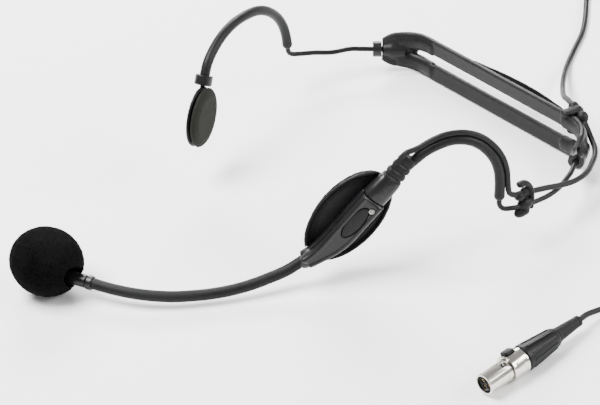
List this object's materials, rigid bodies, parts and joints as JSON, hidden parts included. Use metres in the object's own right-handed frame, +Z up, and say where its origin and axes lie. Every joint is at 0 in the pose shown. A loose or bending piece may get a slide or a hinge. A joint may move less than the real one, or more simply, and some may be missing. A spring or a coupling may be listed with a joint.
{
  "type": "headset microphone",
  "caption": "Behind-the-neck headset microphone: spring-wire ear hooks, temple pads, a bendable boom with a foam windscreen, and a coiled cord with a small locking connector.",
  "frame": {"origin": "on the table under the middle of the headset's box, without the cord and its connector", "axes": "+X to the back of the head (the neck band), +Y to the wearer's right, +Z up from the table that the headset lies on"},
  "size_m": [0.3233, 0.2241, 0.0536],
  "materials": {
    "gloss_plastic": "moulded, low gloss with soft highlights",
    "band_plastic": "satin moulded nylon",
    "satin_plastic": "fine satin",
    "soft_rubber": "smooth silicone, satin",
    "boom_rubber": "matte sheath",
    "foam": "open-cell foam, fully matte",
    "cushion_skin": "soft matte skin",
    "coated_wire": "black plastic-coated spring wire",
    "cable_jacket": "satin extruded jacket",
    "tie_strap": "woven hook-and-loop strap",
    "plug_nickel": "satin nickel plate, turned",
    "steel": "brushed",
    "capsule_nickel": "satin nickel can",
    "plug_plastic": "fine-grained glass-filled nylon",
    "boot_rubber": "matte",
    "brass": "plain",
    "board": "solder mask"
  },
  "bodies": {
    "band": {"neck_band": "band_plastic", "right_bush": "gloss_plastic", "left_bush": "gloss_plastic", "band_spring": "soft_rubber", "rear_clip": "soft_rubber", "cable_on_band": "cable_jacket", "cord_out": "cable_jacket", "cord_back": "cable_jacket", "cord_coil": "cable_jacket", "coil_tie": "tie_strap", "plug_barrel": "plug_nickel", "detent_ball": "steel", "plug_collar": "plug_nickel", "latch_spring": "steel", "plug_insert": "plug_plastic", "plug_contact_1": "brass", "plug_contact_2": "brass", "plug_contact_3": "brass", "plug_contact_4": "brass", "plug_grip": "plug_plastic", "plug_cord_clamp": "brass", "plug_boot": "boot_rubber", "plug_lead": "cable_jacket"},
    "left_side": {"left_wire": "coated_wire", "left_sleeve": "soft_rubber", "cable_over_ear": "cable_jacket", "cable_to_band": "cable_jacket", "left_clip": "soft_rubber", "pod_base": "gloss_plastic", "pod_cover": "gloss_plastic", "cover_inlay": "satin_plastic", "pod_screw": "steel", "pod_neck": "gloss_plastic", "wire_clamp": "brass", "terminal_board": "board", "boom_ferrule": "brass", "strain_relief": "soft_rubber", "left_pad_dish": "soft_rubber", "left_pad_cushion": "cushion_skin", "boom_rear": "boom_rubber"},
    "right_side": {"right_wire": "coated_wire", "right_sleeve": "soft_rubber", "right_collar": "gloss_plastic"},
    "right_pad": {"right_pad_shell": "soft_rubber", "right_pad_cushion": "cushion_skin"},
    "boom_middle": {"boom_middle": "boom_rubber"},
    "boom_tip": {"boom_front": "boom_rubber", "boom_collar": "gloss_plastic", "capsule_tube": "gloss_plastic", "microphone_capsule": "capsule_nickel", "capsule_grille": "steel"},
    "windscreen": {"windscreen": "foam"},
    "latch": {"latch_button": "plug_plastic"}
  },
  "joints": [
    {"name": "left_slide", "type": "slide", "parent": "band", "child": "left_side", "axis": [-0.7382, -0.6614, 0.1326], "range_m": [-0.004, 0.003], "deforming": ["cable_to_band"]},
    {"name": "right_slide", "type": "slide", "parent": "band", "child": "right_side", "axis": [-0.8345, 0.5348, 0.1326], "range_m": [-0.002, 0.006]},
    {"name": "right_pad_swivel", "type": "hinge", "parent": "right_side", "child": "right_pad", "pos_m": [-0.01031, 0.04819, 0.02623], "axis": [0.4738, 0.2081, 0.8557], "range_deg": [-20, 20]},
    {"name": "boom_raise", "type": "hinge", "parent": "left_side", "child": "boom_middle", "pos_m": [-0.03078, -0.03908, 0.00734], "axis": [0.2992, 0.9542, 0], "range_deg": [-30, 30]},
    {"name": "boom_swing", "type": "hinge", "parent": "boom_middle", "child": "boom_tip", "pos_m": [-0.06769, -0.02005, 0.0048], "axis": [0.0383, -0.0324, 0.9987], "range_deg": [-30, 30]},
    {"name": "windscreen_pull", "type": "slide", "parent": "boom_tip", "child": "windscreen", "axis": [-0.5133, 0.8493, 0.1229], "range_m": [0, 0.02]},
    {"name": "latch_press", "type": "slide", "parent": "band", "child": "latch", "axis": [0.065, -0.4015, -0.9135], "range_m": [0, 0.0008], "stiffness_N_per_m": 800, "springref_m": -0.0004, "deforming": ["latch_spring"]}
  ]
}
